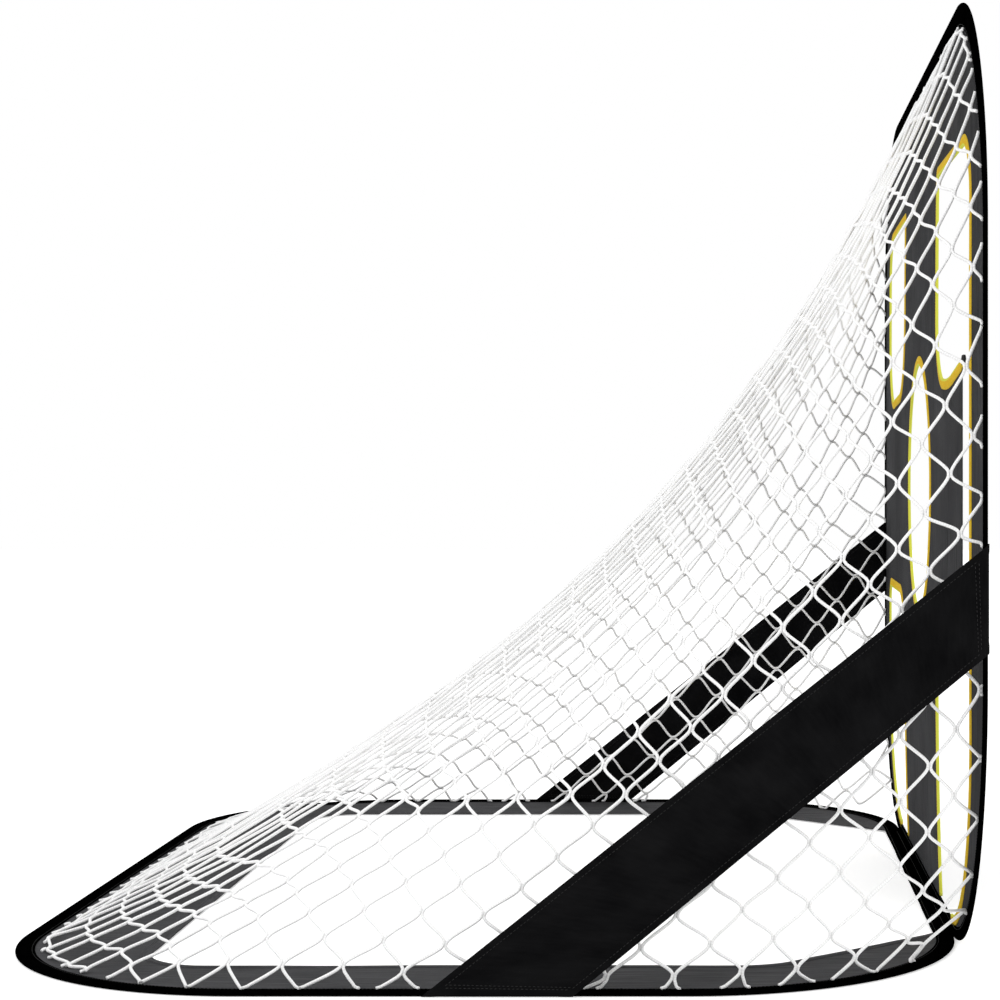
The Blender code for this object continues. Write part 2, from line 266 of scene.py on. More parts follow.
clothSet = {
    # polyester oxford, dyed deep black, woven: it swallows nearly all light, even at a low angle
    "blackOxfordPolyester": {
        "dark": "#000000", "pale": "#030303", "roughness": 1.0, "gloss": 0.0,
        "streakScale": (140, 900, 1), "patchScale": 60, "patchShare": 0.5,
        "thread": 0.0011, "depth": 0.00015},
    # polyester taffeta, dyed dark grey, woven: dull grey with fine uneven threads down its length
    "greyTaffetaPolyester": {
        "dark": "#2a2a2c", "pale": "#4e4e50", "roughness": 0.9, "gloss": 0.2,
        "streakScale": (420, 14, 1), "patchScale": 9, "patchShare": 0.30,
        "thread": 0.0012, "depth": 0.00018},
    # the face's taffeta: the border's grey taffeta with its colours set darker as painted shade, its uneven
    # threads drawn 2 mm wide so that they show
    "greyTaffetaPaintedShade": {
        "dark": "#161618", "pale": "#424244", "roughness": 0.9, "gloss": 0.1,
        "streakScale": (420, 12, 1), "patchScale": 7, "patchShare": 0.34,
        "thread": 0.0012, "depth": 0.00018},
    # polyester strap cloth, dyed black, woven: softer than the sleeve and slightly mottled
    "blackStrapPolyester": {
        "dark": "#040405", "pale": "#121213", "roughness": 0.95, "gloss": 0.08,
        "streakScale": (60, 260, 1), "patchScale": 22, "patchShare": 0.7,
        "thread": 0.0011, "depth": 0.00015},
    # bias binding, polyester satin weave, one colour of tape: its two flaps are painted golden as painted
    # shade, the stretched fold pale lime as its painted lit side
    "limeBiasBinding": {
        "dark": "#d3a818", "pale": "#e4c02c", "roughness": 0.8, "gloss": 0.08,
        "streakScale": (900, 90, 1), "patchScale": 40, "patchShare": 0.4,
        "thread": 0.0009, "depth": 0.00012,
        "foldLitColour": "#d2d44e", "foldAt": 0.0121, "foldHalf": 0.0030, "foldFade": 0.0007},
}


def knotlessCord(name):
    # polyester multifilament, braided without knots, bright white: soft, matt, a herringbone of strands
    values = {"dark": "#eeeeee", "pale": "#fafafa", "strand": 0.0024, "lean": 1.6}
    # light gets into its loose fibres, so it scatters below the surface
    material, tree, shader = newMaterial(name, {
        "Roughness": 0.85, "Specular IOR Level": 0.2, "Subsurface Weight": 0.8,
        "Subsurface Radius": (1, 1, 1), "Subsurface Scale": 0.004})
    uv = addNode(tree, "ShaderNodeUVMap", {"uv_map": "UVMap"})
    parts = addNode(tree, "ShaderNodeSeparateXYZ", links={0: uv.outputs[0]})
    lean = addNode(tree, "ShaderNodeMath", {"operation": "MULTIPLY", 1: values["lean"]},
                   {0: parts.outputs["Y"]})
    along = addNode(tree, "ShaderNodeMath", {"operation": "MULTIPLY_ADD", 1: 2 * math.pi / values["strand"]},
                    {0: parts.outputs["X"], 2: lean.outputs[0]})
    strand = addNode(tree, "ShaderNodeMath", {"operation": "SINE"}, {0: along.outputs[0]})
    fluff = addNode(tree, "ShaderNodeTexNoise", {"Scale": 420.0, "Detail": 2.0})
    place = addNode(tree, "ShaderNodeTexCoord")
    tree.links.new(place.outputs["Object"], fluff.inputs["Vector"])
    height = addNode(tree, "ShaderNodeMath", {"operation": "MULTIPLY_ADD", 1: 0.5},
                     {0: strand.outputs[0], 2: fluff.outputs["Fac"]})
    bump = addNode(tree, "ShaderNodeBump", {"Strength": 0.2, "Distance": 0.0002},
                   {"Height": height.outputs[0]})
    # painted shade: the ramp follows the height, so the grooves between strands are a little greyer than the
    # crests
    ramp = addNode(tree, "ShaderNodeValToRGB", links={"Fac": height.outputs[0]})
    ramp.color_ramp.elements[0].color = srgb(values["dark"])
    ramp.color_ramp.elements[1].color = srgb(values["pale"])
    tree.links.new(ramp.outputs["Color"], shader.inputs["Base Color"])
    tree.links.new(bump.outputs["Normal"], shader.inputs["Normal"])
    return material


def drawnSteel(name, hexText, roughness):
    # drawn and oiled steel: grey metal with fine lines along the wire
    material, tree, shader = newMaterial(name, {"Metallic": 1.0, "Base Color": srgb(hexText)})
    place = addNode(tree, "ShaderNodeTexCoord")
    lines = addNode(tree, "ShaderNodeTexNoise", {"Scale": 900.0, "Detail": 3.0},
                    {"Vector": place.outputs["Object"]})
    rough = addNode(tree, "ShaderNodeMapRange", {"To Min": roughness - 0.08, "To Max": roughness + 0.1},
                    {"Value": lines.outputs["Fac"]})
    tree.links.new(rough.outputs[0], shader.inputs["Roughness"])
    return material


def sewingThread(name, hexText):
    # spun polyester thread: matt, round, slightly hairy
    material, tree, shader = newMaterial(name, {"Roughness": 0.8, "Base Color": srgb(hexText)})
    place = addNode(tree, "ShaderNodeTexCoord")
    hair = addNode(tree, "ShaderNodeTexNoise", {"Scale": 2500.0, "Detail": 1.0},
                   {"Vector": place.outputs["Object"]})
    bump = addNode(tree, "ShaderNodeBump", {"Strength": 0.3, "Distance": 0.0001},
                   {"Height": hair.outputs["Fac"]})
    tree.links.new(bump.outputs["Normal"], shader.inputs["Normal"])
    return material


materials = {name: wovenCloth(name, values) for name, values in clothSet.items()}
materials["whiteKnotlessCord"] = knotlessCord("whiteKnotlessCord")
materials["oiledSpringSteel"] = drawnSteel("oiledSpringSteel", "#9a9a9c", 0.35)
materials["zincPlatedSteel"] = drawnSteel("zincPlatedSteel", "#b9bbbd", 0.3)
materials["blackThread"] = sewingThread("blackThread", "#080808")
materials["greyThread"] = sewingThread("greyThread", "#3c3c3e")
materials["limeThread"] = sewingThread("limeThread", "#cdbb48")
print("materials made:", len(materials))


# Outlines. Each is counter-clockwise, in the plane of its own hoop: x, then the way from the hinge.
def roundedLoop(corners, step, cornerSteps=8):
    # a closed outline through corners (x, y, radius), as evenly spaced runs joined by arcs
    points = []
    count = len(corners)
    for k, (x, y, radius) in enumerate(corners):
        here = np.array((x, y))
        into = here - corners[k - 1][:2]
        out = np.array(corners[(k + 1) % count][:2]) - here
        into, out = into / np.linalg.norm(into), out / np.linalg.norm(out)
        turn = math.atan2(into[0] * out[1] - into[1] * out[0], into @ out)
        side = math.copysign(1, turn)
        normal = np.array((-into[1], into[0])) * side
        centre = here - into * radius * math.tan(abs(turn) / 2) + normal * radius
        first = math.atan2(-normal[1], -normal[0])
        steps = max(cornerSteps, round(radius * abs(turn) / step)) if radius else 0
        angles = first + turn * np.arange(steps + 1) / max(steps, 1)
        arc = centre + radius * np.stack([np.cos(angles), np.sin(angles)], axis=1)
        points.append(arc if radius else here[None])
    runs = []
    for k, arc in enumerate(points):
        start, end = arc[-1], points[(k + 1) % count][0]
        steps = max(1, round(np.linalg.norm(end - start) / step))
        shares = np.arange(1, steps)[:, None] / steps
        runs += [arc, start + (end - start) * shares]
    return np.concatenate(runs)


def hoopLoop(hoop, inset, step=hoops["pathStep"]):
    length, foot, head = hoop
    x, low, high = goalWidth / 2 - inset, inset, length - inset
    foot, head = foot - inset, head - inset
    return roundedLoop([(-x, low, foot), (x, low, foot), (x, high, head), (-x, high, head)], step)


def mirrored(points):
    return points[::-1] * (-1, 1)


def smoothShare(share):
    share = np.clip(share, 0, 1)
    return share * share * (3 - 2 * share)


def headShare(height):
    # 0 near the hinge, 1 along a hoop's far run
    return smoothShare((height - hoops["headFrom"]) / hoops["headBlend"])


def outwards(points, closed=True):
    along = np.roll(points, -1, axis=0) - np.roll(points, 1, axis=0)
    if not closed:
        along[0], along[-1] = points[1] - points[0], points[-1] - points[-2]
    along /= np.linalg.norm(along, axis=1)[:, None]
    return np.stack([along[:, 1], -along[:, 0]], axis=1)


def runLength(points):
    return np.concatenate([[0], np.cumsum(np.linalg.norm(np.diff(points, axis=0), axis=1))])


def loopArea(loop):
    x, y = loop.T
    return abs((x * np.roll(y, -1) - y * np.roll(x, -1)).sum() / 2)


def inside(points, loop):
    # even-odd test of many points against one closed loop
    x, y = points[:, 0][:, None], points[:, 1][:, None]
    ax, ay = loop[:, 0][None], loop[:, 1][None]
    bx, by = np.roll(loop, -1, axis=0).T[:, None]
    crosses = (ay > y) != (by > y)
    with np.errstate(divide="ignore", invalid="ignore"):
        at = ax + (y - ay) / (by - ay) * (bx - ax)
    return (crosses & (x < at)).sum(axis=1) % 2 == 1


def distanceTo(points, loop):
    tree = KDTree(len(loop))
    for k, (x, y) in enumerate(loop):
        tree.insert((x, y, 0), k)
    tree.balance()
    return np.array([tree.find((x, y, 0))[2] for x, y in points])


# The face sheet bows towards the net, which pulls its edge
faceBow = {"depth": 0.0062, "sidePower": 1.2, "risePower": 4}


def bowAt(x, height):
    side = np.clip(1 - (2 * x / goalWidth) ** 2, 0, 1) ** faceBow["sidePower"]
    rise = np.clip(1 - (2 * height / faceHeight - 1) ** faceBow["risePower"], 0, 1)
    return faceBow["depth"] * side * rise


def onFace(points):
    return np.stack([points[:, 0], faceY + points[:, 2], points[:, 1]], axis=1)


def onBowedFace(points):
    return onFace(points + np.stack([0 * points[:, 0], 0 * points[:, 0],
                                     bowAt(points[:, 0], points[:, 1])], axis=1))


def onGround(points):
    return np.stack([points[:, 0], groundStart + points[:, 1], groundZ + points[:, 2]], axis=1)


def meshPiece(name, points, faces, cornerUv, material):
    mesh = bpy.data.meshes.new(name)
    mesh.from_pydata(points.tolist(), [], faces)
    layer = mesh.uv_layers.new(name="UVMap")
    layer.data.foreach_set("uv", np.asarray(cornerUv, dtype=np.float32).ravel())
    mesh.materials.append(material)
    shell = bmesh.new()
    shell.from_mesh(mesh)
    bmesh.ops.recalc_face_normals(shell, faces=shell.faces)
    shell.to_mesh(mesh)
    shell.free()
    mesh.shade_smooth()
    obj = bpy.data.objects.new(name, mesh)
    scene.collection.objects.link(obj)
    return obj


def sweptCloth(name, path, section, place, material, closed=True, drift=None):
    # section: a closed loop of (outwards, across) that runs along path. drift moves it, ring by ring.
    section = np.asarray(section, dtype=float)
    count, wide = len(path), len(section)
    run = runLength(np.concatenate([path, path[:1]]) if closed else path)
    offsets = np.broadcast_to(section, (count, wide, 2)).copy()
    if drift is not None:
        offsets += drift(run[:count], section)
    out = outwards(path, closed)
    flat = path[:, None] + offsets[..., :1] * out[:, None]
    points = place(np.concatenate([flat, offsets[..., 1:]], axis=2).reshape(-1, 3))
    around = runLength(np.concatenate([section, section[:1]]))
    faces, uv = [], []
    for i in range(count if closed else count - 1):
        after = (i + 1) % count
        for j in range(wide):
            beside = (j + 1) % wide
            faces.append((i * wide + j, after * wide + j, after * wide + beside, i * wide + beside))
            uv += [(around[j], run[i]), (around[j], run[i + 1]),
                   (around[j + 1], run[i + 1]), (around[j + 1], run[i])]
    if not closed:
        faces += [tuple(range(wide)), tuple((count - 1) * wide + j for j in range(wide))]
        uv += [(u, 0) for u in around[:wide]] * 2
    return meshPiece(name, points, faces, uv, material)


def flatCloth(name, outline, cuts, spacing, thickness, lift, place, material):
    # a cut sheet: even triangles between its outline and its holes, in two layers joined at the edges
    low, high = outline.min(axis=0), outline.max(axis=0)
    columns = np.arange(low[0], high[0], spacing)
    rows = np.arange(low[1], high[1], spacing * math.sqrt(3) / 2)
    grid = np.concatenate([
        np.column_stack([columns + (k % 2) * spacing / 2, np.full(len(columns), y)])
        for k, y in enumerate(rows)])
    loops = [outline, *cuts]

    def onCloth(points):
        kept = inside(points, outline)
        for cut in cuts:
            kept &= ~inside(points, cut)
        return kept

    grid = grid[onCloth(grid)]
    grid = grid[distanceTo(grid, np.concatenate(loops)) > spacing * 0.55]
    edges, start = [], 0
    for loop in loops:
        edges += [(start + k, start + (k + 1) % len(loop)) for k in range(len(loop))]
        start += len(loop)
    places = [Vector(p) for p in np.concatenate([*loops, grid]).tolist()]
    found, _, triangles = delaunay_2d_cdt(places, edges, [], 0, 1e-7)[:3]
    found = np.array([tuple(p) for p in found])
    triangles = np.array(triangles)
    triangles = triangles[onCloth(found[triangles].mean(axis=1))]
    used, triangles = np.unique(triangles, return_inverse=True)
    triangles = triangles.reshape(-1, 3)
    found = found[used]
    sides = np.concatenate([triangles[:, [0, 1]], triangles[:, [1, 2]], triangles[:, [2, 0]]])
    keys = np.sort(sides, axis=1) @ (len(found), 1)
    _, first, uses = np.unique(keys, return_index=True, return_counts=True)
    rim = sides[first[uses == 1]]
    depth = lift(found)
    upper = np.column_stack([found, depth + thickness / 2])
    lower = np.column_stack([found, depth - thickness / 2])
    n = len(found)
    faces = triangles.tolist() + (triangles[:, ::-1] + n).tolist()
    faces += [(b, a, a + n, b + n) for a, b in rim]
    corners = np.concatenate([np.ravel(f) for f in faces]) % n
    return meshPiece(name, place(np.concatenate([upper, lower])), faces, found[corners], material)


def slabCloth(name, middle, thickness, uv, material):
    # a cloth strip from a grid of points on its middle surface, with its thickness at each point
    rows, columns = middle.shape[:2]
    across = np.gradient(middle, axis=1)
    along = np.gradient(middle, axis=0)
    normal = np.cross(along, across)
    normal /= np.linalg.norm(normal, axis=2)[..., None]
    half = normal * np.asarray(thickness)[..., None] / 2
    points = np.concatenate([(middle + half).reshape(-1, 3), (middle - half).reshape(-1, 3)])
    number = np.arange(rows * columns).reshape(rows, columns)
    a, b, c, d = number[:-1, :-1], number[1:, :-1], number[1:, 1:], number[:-1, 1:]
    top = np.stack([a, b, c, d], axis=-1).reshape(-1, 4)
    ring = np.concatenate([number[0, :-1], number[:-1, -1], number[-1, :0:-1], number[:0:-1, 0]])
    after = np.roll(ring, -1)
    n = rows * columns
    sides = np.stack([ring, after, after + n, ring + n], axis=1)
    faces = top.tolist() + (top[:, ::-1] + n).tolist() + sides.tolist()
    corners = np.concatenate([np.ravel(f) for f in faces]) % n
    return meshPiece(name, points, faces, uv.reshape(-1, 2)[corners], material)


# Geometry Nodes: a row of lock stitches along each line, and a round cord along each line
def newTree(name, inputs):
    tree = bpy.data.node_groups.new(name, "GeometryNodeTree")
    for label, kind in {"Geometry": "Geometry", **inputs}.items():
        tree.interface.new_socket(label, in_out="INPUT", socket_type="NodeSocket" + kind)
    tree.interface.new_socket("Geometry", in_out="OUTPUT", socket_type="NodeSocketGeometry")
    return tree, addNode(tree, "NodeGroupInput"), addNode(tree, "NodeGroupOutput")


def stitchTree():
    tree, given, result = newTree("lockStitches", {
        "Pitch": "Float", "Stitch Length": "Float", "Thread Width": "Float", "Unevenness": "Float",
        "Thread": "Material"})
    line = addNode(tree, "GeometryNodeMeshToCurve", links={"Mesh": given.outputs["Geometry"]})
    spaced = addNode(tree, "GeometryNodeResampleCurve", {"mode": "LENGTH"},
                     {"Curve": line.outputs[0], "Length": given.outputs["Pitch"]})
    bead = addNode(tree, "GeometryNodeMeshIcoSphere", {"Radius": 0.5, "Subdivisions": 1})
    size = addNode(tree, "ShaderNodeCombineXYZ", links={
        "X": given.outputs["Stitch Length"], "Y": given.outputs["Thread Width"],
        "Z": given.outputs["Thread Width"]})
    shaped = addNode(tree, "GeometryNodeTransform",
                     links={"Geometry": bead.outputs["Mesh"], "Scale": size.outputs[0]})
    tangent = addNode(tree, "GeometryNodeInputTangent")
    turn = addNode(tree, "FunctionNodeAlignRotationToVector", {"axis": "X"},
                   {"Vector": tangent.outputs[0]})
    lowest = addNode(tree, "ShaderNodeMath", {"operation": "SUBTRACT", 0: 1.0},
                     {1: given.outputs["Unevenness"]})
    uneven = addNode(tree, "FunctionNodeRandomValue", {"data_type": "FLOAT", "Seed": 3},
                     {2: lowest.outputs[0]})
    placed = addNode(tree, "GeometryNodeInstanceOnPoints", links={
        "Points": spaced.outputs[0], "Instance": shaped.outputs[0],
        "Rotation": turn.outputs[0], "Scale": uneven.outputs[1]})
    real = addNode(tree, "GeometryNodeRealizeInstances", links={"Geometry": placed.outputs[0]})
    smooth = addNode(tree, "GeometryNodeSetShadeSmooth", links={"Geometry": real.outputs[0]})
    painted = addNode(tree, "GeometryNodeSetMaterial", links={
        "Geometry": smooth.outputs[0], "Material": given.outputs["Thread"]})
    tree.links.new(painted.outputs[0], result.inputs[0])
    return tree


def cordTree():
    tree, given, result = newTree("netCords", {
        "Cord Diameter": "Float", "Sides": "Int", "Cord": "Material"})
    line = addNode(tree, "GeometryNodeMeshToCurve", links={"Mesh": given.outputs["Geometry"]})
    girth = addNode(tree, "GeometryNodeInputNamedAttribute", {"data_type": "FLOAT", "Name": "girth"})
    thick = addNode(tree, "GeometryNodeSetCurveRadius",
                    links={"Curve": line.outputs[0], "Radius": girth.outputs[0]})
    along = addNode(tree, "GeometryNodeSplineParameter")
    keptAlong = addNode(tree, "GeometryNodeCaptureAttribute", {"domain": "POINT"},
                        {"Geometry": thick.outputs[0]})
    keptAlong.capture_items.new("FLOAT", "Along")
    tree.links.new(along.outputs["Length"], keptAlong.inputs["Along"])
    half = addNode(tree, "ShaderNodeMath", {"operation": "MULTIPLY", 1: 0.5},
                   {0: given.outputs["Cord Diameter"]})
    ring = addNode(tree, "GeometryNodeCurvePrimitiveCircle",
                   links={"Resolution": given.outputs["Sides"], "Radius": half.outputs[0]})
    share = addNode(tree, "GeometryNodeSplineParameter")
    # a V across the cord, 0 at its back and 1 at its front, meets itself without a seam
    centred = addNode(tree, "ShaderNodeMath", {"operation": "SUBTRACT", 1: 0.5},
                      {0: share.outputs["Factor"]})
    vee = addNode(tree, "ShaderNodeMath", {"operation": "ABSOLUTE"}, {0: centred.outputs[0]})
    keptAround = addNode(tree, "GeometryNodeCaptureAttribute", {"domain": "POINT"},
                         {"Geometry": ring.outputs[0]})
    keptAround.capture_items.new("FLOAT", "Around")
    tree.links.new(vee.outputs[0], keptAround.inputs["Around"])
    tube = addNode(tree, "GeometryNodeCurveToMesh", {"Fill Caps": True}, {
        "Curve": keptAlong.outputs[0], "Profile Curve": keptAround.outputs[0]})
    pair = addNode(tree, "ShaderNodeCombineXYZ", links={
        "X": keptAlong.outputs["Along"], "Y": keptAround.outputs["Around"]})
    mapped = addNode(tree, "GeometryNodeStoreNamedAttribute", {
        "data_type": "FLOAT2", "domain": "CORNER", "Name": "UVMap"},
        {"Geometry": tube.outputs[0], "Value": pair.outputs[0]})
    smooth = addNode(tree, "GeometryNodeSetShadeSmooth", links={"Geometry": mapped.outputs[0]})
    painted = addNode(tree, "GeometryNodeSetMaterial", links={
        "Geometry": smooth.outputs[0], "Material": given.outputs["Cord"]})
    real = addNode(tree, "GeometryNodeRealizeInstances", links={"Geometry": painted.outputs[0]})
    tree.links.new(real.outputs[0], result.inputs[0])
    return tree


def linesObject(name, lines, girths=None):
    points = np.concatenate(lines)
    edges, start = [], 0
    for line in lines:
        edges += [(start + k, start + k + 1) for k in range(len(line) - 1)]
        start += len(line)
    mesh = bpy.data.meshes.new(name)
    mesh.from_pydata(points.tolist(), edges, [])
    if girths is not None:
        mesh.attributes.new("girth", "FLOAT", "POINT").data.foreach_set("value", np.concatenate(girths))
    obj = bpy.data.objects.new(name, mesh)
    scene.collection.objects.link(obj)
    return obj


def grown(name, source, tree, values):
    # runs a node tree on source and keeps its result as a plain mesh
    modifier = source.modifiers.new("nodes", "NODES")
    modifier.node_group = tree
    for item in tree.interface.items_tree:
        if item.in_out == "INPUT" and item.name in values:
            modifier[item.identifier] = values[item.name]
    graph = bpy.context.evaluated_depsgraph_get()
    mesh = bpy.data.meshes.new_from_object(source.evaluated_get(graph), depsgraph=graph)
    bpy.data.objects.remove(source)
    mesh.name = name
    obj = bpy.data.objects.new(name, mesh)
    scene.collection.objects.link(obj)
    return obj


seamTree = stitchTree()
netTree = cordTree()


def stitched(name, lines, thread, pitch=0.0036, width=0.0007):
    values = {"Pitch": pitch, "Stitch Length": pitch * 0.8, "Thread Width": width,
              "Unevenness": 0.12, "Thread": materials[thread]}
    return grown(name, linesObject(name + "Lines", lines), seamTree, values)


def seamLine(path, outward, across, place, closed=True):
    # a line that runs beside path, at the given distance outwards and off the cloth
    line = path + outwards(path, closed) * outward
    if closed:
        line = np.concatenate([line, line[:1]])
    return place(np.column_stack([line, np.full(len(line), across)]))


def settle(piece, body, slot, *nodes):
    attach(piece, body)
    if nodes:
        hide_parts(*nodes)


def settleAcross(piece, slot, start, end, *nodes):
    # start is (y, z) from the hinge on the ground hoop's side, end on the face hoop's side; neither is used:
    # the piece's transform is baked in and its parts hidden
    start, end = ((0, hingePoint[1] + y, hingePoint[2] + z) for y, z in (start, end))
    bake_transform(piece)
    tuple(start)
    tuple(end)
    if nodes:
        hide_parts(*nodes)


def wave(points, scale, seed):
    # smooth noise at each point, from -1 to 1
    return np.array([noise.noise((x / scale, y / scale, seed)) for x, y in points])


def waveAlong(run, scale, seed, layer):
    return np.array([noise.noise((s / scale, seed, layer)) for s in run])


# Holes in the face sheet, each measured from the goal's side, and from its top or the ground
holeSet = {
    "outer": 0.105, "inner": 0.405,
    "upperDrop": 0.140, "upperHeight": 0.227, "upperOuterRadius": 0.062, "upperInnerRadius": 0.008,
    "upperLowRadius": 0.100, "lowRise": 0.012, "heelRadius": 0.085,
    "lowFrom": 0.115, "lowFlatRadius": 0.400, "lowSideRise": 0.0075, "lowSideRadius": 0.070,
    "lowerBottom": 0.0125, "lowerTop": 0.315, "lowerOuterRadius": 0.200, "shoulderRadius": 0.030,
    "lowerInnerRadius": 0.090,
    "centreDiameter": 0.286, "centreHeight": 0.445, "centreSides": 96,
    "slotWidth": 0.064, "slotBottom": 0.345, "slotTipRise": 0.0155, "slotRadius": 0.006,
    "step": 0.004,
}
upperTop = faceHeight - holeSet["upperDrop"]
upperBottom = upperTop - holeSet["upperHeight"]
holeOuter = goalWidth / 2 - holeSet["outer"]
holeInner = goalWidth / 2 - holeSet["inner"]


def upperHole():
    return roundedLoop([
        (holeInner, upperBottom + holeSet["lowRise"], holeSet["upperLowRadius"]),
        (holeOuter, upperBottom, holeSet["heelRadius"]),
        (holeOuter, upperTop, holeSet["upperOuterRadius"]),
        (holeInner, upperTop, holeSet["upperInnerRadius"])], holeSet["step"])


def slottedHole():
    slotInner = -holeOuter + holeSet["slotWidth"]
    return roundedLoop([
        (-holeOuter, holeSet["slotBottom"], holeSet["slotRadius"]),
        (slotInner, holeSet["slotBottom"], holeSet["slotRadius"]),
        (slotInner, upperBottom + holeSet["slotTipRise"], holeSet["slotRadius"]),
        (-holeInner - holeSet["lowFrom"], upperBottom, holeSet["lowFlatRadius"]),
        (-holeInner, upperBottom + holeSet["lowSideRise"], holeSet["lowSideRadius"]),
        (-holeInner, upperTop, holeSet["upperInnerRadius"]),
        (-holeOuter, upperTop, holeSet["upperOuterRadius"])], holeSet["step"])


def lowerHole():
    return roundedLoop([
        (holeInner, holeSet["lowerBottom"], 0),
        (holeOuter, holeSet["lowerBottom"], holeSet["lowerOuterRadius"]),
        (holeOuter, holeSet["lowerTop"], holeSet["shoulderRadius"]),
        (holeInner, holeSet["lowerTop"], holeSet["lowerInnerRadius"])], holeSet["step"])


def centreHole():
    angles = 2 * math.pi * np.arange(holeSet["centreSides"]) / holeSet["centreSides"]
    radius = holeSet["centreDiameter"] / 2
    return np.stack([radius * np.cos(angles), holeSet["centreHeight"] + radius * np.sin(angles)], axis=1)


holeLoops = {
    "top_left": slottedHole(), "top_right": upperHole(), "bottom_left": mirrored(lowerHole()),
    "bottom_right": lowerHole(), "centre": centreHole()}

# Target sheet: taffeta, taut in the hoop, with puckers where it is sewn to the sleeve
panelSet = {
    "thickness": 0.0006, "spacing": 0.0075, "edgeInBead": 0.001,
    "puckerDepth": 0.0007, "puckerLength": 0.016, "puckerFrom": 0.013, "puckerReach": 0.045,
    "puckerRise": 0.008, "slackDepth": 0.0011, "slackLength": 0.11, "slackFrom": 0.05,
}


def puckers(distance, values):
    rising = np.clip((distance - values["puckerFrom"]) / values["puckerRise"], 0, 1)
    falling = np.clip(1 - (distance - values["puckerFrom"]) / values["puckerReach"], 0, 1)
    return rising * falling ** 2


def makePanel(values):
    outline = hoopLoop(faceHoop, hoops["sheetInset"])
    cuts = [loop + outwards(loop) * values["edgeInBead"] for loop in holeLoops.values()]
    holeEdges = np.concatenate(cuts)

    def lift(points):
        toHoop = distanceTo(points, outline)
        toHole = distanceTo(points, holeEdges)
        depth = bowAt(points[:, 0], points[:, 1])
        depth += puckers(toHoop, values) * values["puckerDepth"] * wave(points, values["puckerLength"], 2.5)
        slack = np.clip(np.minimum(toHoop, toHole) / values["slackFrom"], 0, 1)
        return depth + slack * values["slackDepth"] * wave(points, values["slackLength"], 7.1)

    # its taffeta is the border's grey drawn darker, as painted shade
    panel = flatCloth("target_sheet", outline, cuts, values["spacing"], values["thickness"], lift,
                      onFace, materials["greyTaffetaPaintedShade"])
    settle(panel, "front", "panel_cloth", "target_panel")
    loopArea(outline) - sum(loopArea(loop) for loop in cuts)


makePanel(panelSet)
print("target sheet made")

# Binding on the holes: bias tape folded over the sheet's edge, full at its fold and sewn flat
bindingSet = {
    "into": 0.0056, "onto": 0.0056, "foldHalf": 0.0015, "edgeHalf": 0.0009, "foldSteps": 8,
    "crease": 0.00022, "creaseLength": 0.006, "seam": 0.0042, "stitch": 0.0032,
}


def bindingSection(values):
    # from the flap on one side of the sheet, round the fold, to the flap on the other side
    fold, edge = values["foldHalf"], values["edgeHalf"]
    centre = fold - values["into"]  # the flap: (outwards, half thickness) from its edge to the fold
    angles = math.pi / 2 + math.pi * np.arange(values["foldSteps"] + 1) / values["foldSteps"]
    bend = np.stack([centre + fold * np.cos(angles), fold * np.sin(angles)], axis=1)
    flap = np.array([(values["onto"], edge * 0.75), (values["onto"] - 0.0008, edge),
                     (values["seam"], edge * 0.9), (values["seam"] - 0.0016, edge * 1.35),
                     (0.0, fold * 0.92)])
    return np.concatenate([flap, bend, flap[::-1] * (1, -1)])


def creased(values, seed):
    def drift(run, section):
        amount = waveAlong(run, values["creaseLength"], seed, 0.3)
        away = section / np.linalg.norm(section, axis=1)[:, None]
        return amount[:, None, None] * away[None] * values["crease"]
    return drift


def aboveSleeve(loop):
    # a lower hole's outline without the run that lies along the sleeve's edge
    above = loop[:, 1] > holeSet["lowerBottom"] + 0.0004
    start = int(np.flatnonzero(above & ~np.roll(above, 1))[0])
    return np.roll(loop, -start, axis=0)[:int(above.sum())]


def makeBindings(values):
    section = bindingSection(values)
    slotInner = -holeOuter + holeSet["slotWidth"]
    slotted = holeLoops["top_left"]
    tip = np.flatnonzero((np.abs(slotted[:, 0] - slotInner) < 0.002) & (
        slotted[:, 1] < upperBottom + holeSet["slotTipRise"] + 0.002)).max() + 1
    runs = {
        "top_left": (np.roll(slotted, -tip, axis=0)[:len(slotted) - tip + 4], False),
        "top_right": (holeLoops["top_right"], True),
        "bottom_left": (aboveSleeve(holeLoops["bottom_left"]), False),
        "bottom_right": (aboveSleeve(holeLoops["bottom_right"]), False),
        "centre": (holeLoops["centre"], True),
    }
    for number, (name, (path, closed)) in enumerate(runs.items()):
        binding = sweptCloth("binding_" + name, path, section, onBowedFace,
                             materials["limeBiasBinding"], closed, creased(values, number + 0.5))
        settle(binding, "front", "piping_cloth", "piping_" + name)
        rows = [seamLine(path, values["seam"], side * values["edgeHalf"], onBowedFace, closed)
                for side in (-1, 1)]
        thread = stitched("binding_stitches_" + name, rows, "limeThread", values["stitch"])
        settle(thread, "front", "piping_cloth")


makeBindings(bindingSet)

# Black thread binds the tip of cloth between the slot and its hole, in an oval of close level rows
tackSet = {"rows": 9, "height": 0.0095, "width": 0.022, "below": 0.0015, "towardsPost": 0.007,
           "lift": 0.0007, "pitch": 0.0012, "thread": 0.0014}


def makeBarTack(values):
    low = upperBottom + holeSet["slotTipRise"] - values["below"]
    middle = -holeOuter + holeSet["slotWidth"] - values["towardsPost"]
    rows = []
    for share in (np.arange(values["rows"]) + 0.5) / values["rows"]:
        half = values["width"] * math.sqrt(share * (1 - share))
        for lift in (-values["lift"], values["lift"]):
            row = np.array([(middle - half, low + values["height"] * share, 0),
                            (middle + half, low + values["height"] * share, 0)])
            rows.append(onBowedFace(row) + (0, lift, 0))
    tack = stitched("slot_bar_tack", rows, "blackThread", values["pitch"], values["thread"])
    settle(tack, "front", "piping_cloth")


makeBarTack(tackSet)
print("bindings made")

